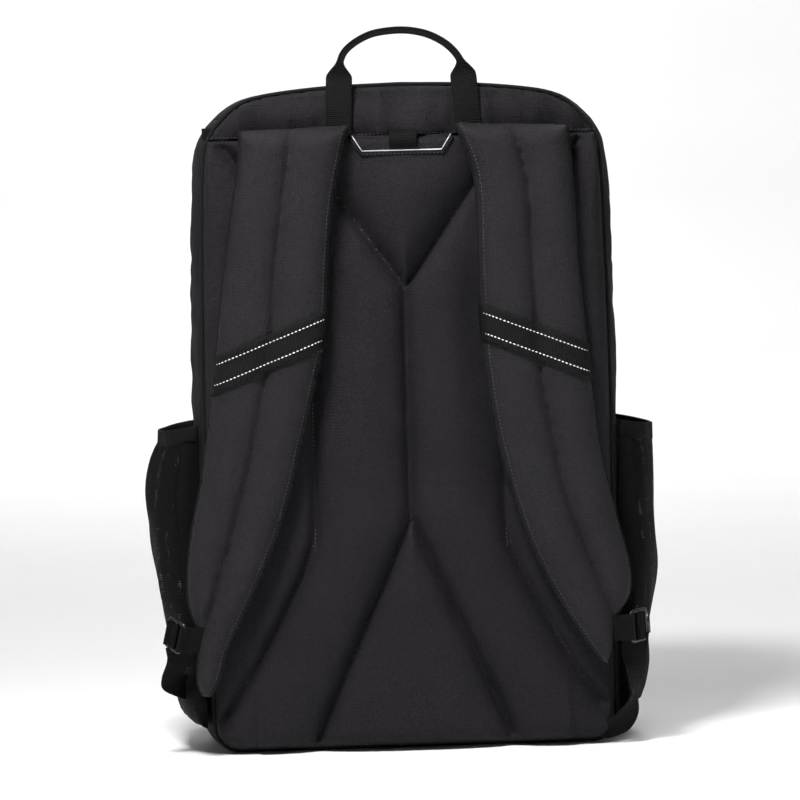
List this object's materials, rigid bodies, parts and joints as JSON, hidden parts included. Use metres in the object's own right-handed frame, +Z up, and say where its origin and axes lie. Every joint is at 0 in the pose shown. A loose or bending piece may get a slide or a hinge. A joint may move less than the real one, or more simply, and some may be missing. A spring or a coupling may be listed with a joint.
{
  "type": "racket backpack",
  "caption": "Black racket backpack with padded harness, net side pockets, a clamshell main compartment, a racket compartment and an accessory pocket.",
  "frame": {"origin": "centre of the flat base", "axes": "+Z up, the harness side faces -Y, +X to the right of someone facing the harness"},
  "size_m": [0.3949, 0.2295, 0.551],
  "materials": {
    "shell_cloth": "woven polyester, slightly warm black",
    "back_cloth": "woven polyester, slightly warm black",
    "strap_cloth": "woven polyester, slightly warm black",
    "lining": "plain woven lining",
    "webbing": "ribbed polyester webbing, black",
    "band_webbing": "ribbed polyester webbing, black",
    "zip_tape": "ribbed polyester webbing, black",
    "piping": "ribbed polyester webbing, black",
    "elastic": "ribbed elastic binding",
    "pocket_net": "open knitted net",
    "spacer_mesh": "air mesh lining",
    "reflective_silver": "reflective silver tape",
    "ladder_lock_plastic": "moulded acetal, semi-gloss",
    "frame_sheet_plastic": "matte sheet",
    "zip_metal": "black coated zinc"
  },
  "bodies": {
    "bag": {"adjuster_webbing_left": "webbing", "adjuster_webbing_right": "webbing", "back_panel": "back_cloth", "bottom_panel": "shell_cloth", "frame_sheet": "frame_sheet_plastic", "handle_leg_left": "webbing", "handle_leg_right": "webbing", "hang_loop": "webbing", "laptop_sleeve": "lining", "main_zip_rear_tape": "zip_tape", "mesh_pocket_left": "pocket_net", "mesh_pocket_right": "pocket_net", "pad_centre_left": "back_cloth", "pad_centre_right": "back_cloth", "pad_lower": "back_cloth", "pad_side_left": "back_cloth", "pad_side_right": "back_cloth", "pad_upper": "back_cloth", "pocket_elastic_left": "elastic", "pocket_elastic_right": "elastic", "rear_gusset_left": "shell_cloth", "rear_gusset_right": "shell_cloth", "rear_gusset_top": "shell_cloth", "rear_piping": "piping", "recess_panel": "back_cloth", "reflective_trim": "reflective_silver", "side_tab": "webbing", "webbing_anchor_left": "webbing", "webbing_anchor_right": "webbing", "yoke_panel": "back_cloth"},
    "handle": {"carry_handle": "webbing"},
    "strap_left": {"shoulder_strap_left": "strap_cloth", "strap_lining_left": "spacer_mesh", "reflective_band_left": "band_webbing", "strap_end_webbing_left": "webbing"},
    "strap_right": {"shoulder_strap_right": "strap_cloth", "strap_lining_right": "spacer_mesh", "reflective_band_right": "band_webbing", "strap_end_webbing_right": "webbing"},
    "lock_left": {"ladder_lock_left": "ladder_lock_plastic"},
    "lock_right": {"ladder_lock_right": "ladder_lock_plastic"},
    "lid": {"lid_gusset_left": "shell_cloth", "lid_gusset_right": "shell_cloth", "lid_gusset_top": "shell_cloth", "main_zip_front_tape": "zip_tape", "divider_panel": "lining", "front_frame": "shell_cloth", "front_piping": "piping", "accessory_pocket": "shell_cloth"},
    "flap": {"racket_flap": "shell_cloth"},
    "main_slider_left": {"main_zip_left_slider": "zip_metal"},
    "main_slider_right": {"main_zip_right_slider": "zip_metal"},
    "racket_slider": {"racket_zip_slider": "zip_metal"},
    "accessory_slider": {"accessory_zip_slider": "zip_metal"},
    "main_pull_left": {"main_zip_left_pull": "zip_metal"},
    "main_pull_right": {"main_zip_right_pull": "zip_metal"},
    "racket_pull": {"racket_zip_pull": "zip_metal"},
    "accessory_pull": {"accessory_zip_pull": "zip_metal"}
  },
  "joints": [
    {"name": "handle_fold", "type": "hinge", "parent": "bag", "child": "handle", "pos_m": [0, -0.109, 0.5125], "axis": [1, 0, 0], "range_deg": [-80, 120], "stiffness_Nm_per_rad": 0.03},
    {"name": "strap_left_lift", "type": "hinge", "parent": "bag", "child": "strap_left", "pos_m": [-0.0815, -0.1175, 0.4715], "axis": [-1, 0, 0], "range_deg": [0, 35], "deforming": ["adjuster_webbing_left"]},
    {"name": "strap_right_lift", "type": "hinge", "parent": "bag", "child": "strap_right", "pos_m": [0.083, -0.1175, 0.4715], "axis": [-1, 0, 0], "range_deg": [0, 35], "deforming": ["adjuster_webbing_right"]},
    {"name": "lock_right_tilt", "type": "hinge", "parent": "strap_right", "child": "lock_right", "pos_m": [0.16522, -0.12428, 0.09038], "axis": [-0.0493, -0.0493, 0.9976], "range_deg": [-40, 15]},
    {"name": "lock_left_tilt", "type": "hinge", "parent": "strap_left", "child": "lock_left", "pos_m": [-0.17662, -0.12441, 0.09096], "axis": [0.2199, -0.262, 0.9397], "range_deg": [-15, 40]},
    {"name": "lid_open", "type": "hinge", "parent": "bag", "child": "lid", "pos_m": [0, 0.0663, 0.0017], "axis": [-1, 0, 0], "range_deg": [0, 70]},
    {"name": "flap_open", "type": "hinge", "parent": "lid", "child": "flap", "pos_m": [0, 0.0683, 0.2308], "axis": [-1, 0, 0], "range_deg": [0, 95]},
    {"name": "main_zip_left_slide", "type": "slide", "parent": "lid", "child": "main_slider_left", "axis": [-0.9979, 0, -0.0655], "range_m": [0, 0.085]},
    {"name": "main_zip_left_pull_swing", "type": "hinge", "parent": "main_slider_left", "child": "main_pull_left", "pos_m": [-0.0117, 0, 0.50735], "axis": [0, 1, 0], "range_deg": [0, 150]},
    {"name": "main_zip_right_slide", "type": "slide", "parent": "lid", "child": "main_slider_right", "axis": [0.9979, 0, -0.0655], "range_m": [0, 0.085]},
    {"name": "main_zip_right_pull_swing", "type": "hinge", "parent": "main_slider_right", "child": "main_pull_right", "pos_m": [0.0117, 0, 0.50735], "axis": [0, -1, 0], "range_deg": [0, 150]},
    {"name": "racket_zip_slide", "type": "slide", "parent": "flap", "child": "racket_slider", "axis": [0, 0, -1], "range_m": [0, 0.12]},
    {"name": "racket_zip_pull_swing", "type": "hinge", "parent": "racket_slider", "child": "racket_pull", "pos_m": [0.1172, 0.0716, 0.3812], "axis": [1, 0, 0], "range_deg": [0, 150]},
    {"name": "accessory_zip_slide", "type": "slide", "parent": "lid", "child": "accessory_slider", "axis": [1, 0, 0], "range_m": [0, 0.15]},
    {"name": "accessory_zip_pull_swing", "type": "hinge", "parent": "accessory_slider", "child": "accessory_pull", "pos_m": [-0.0812, 0.08165, 0.1986], "axis": [0, -1, 0], "range_deg": [0, 150]}
  ]
}
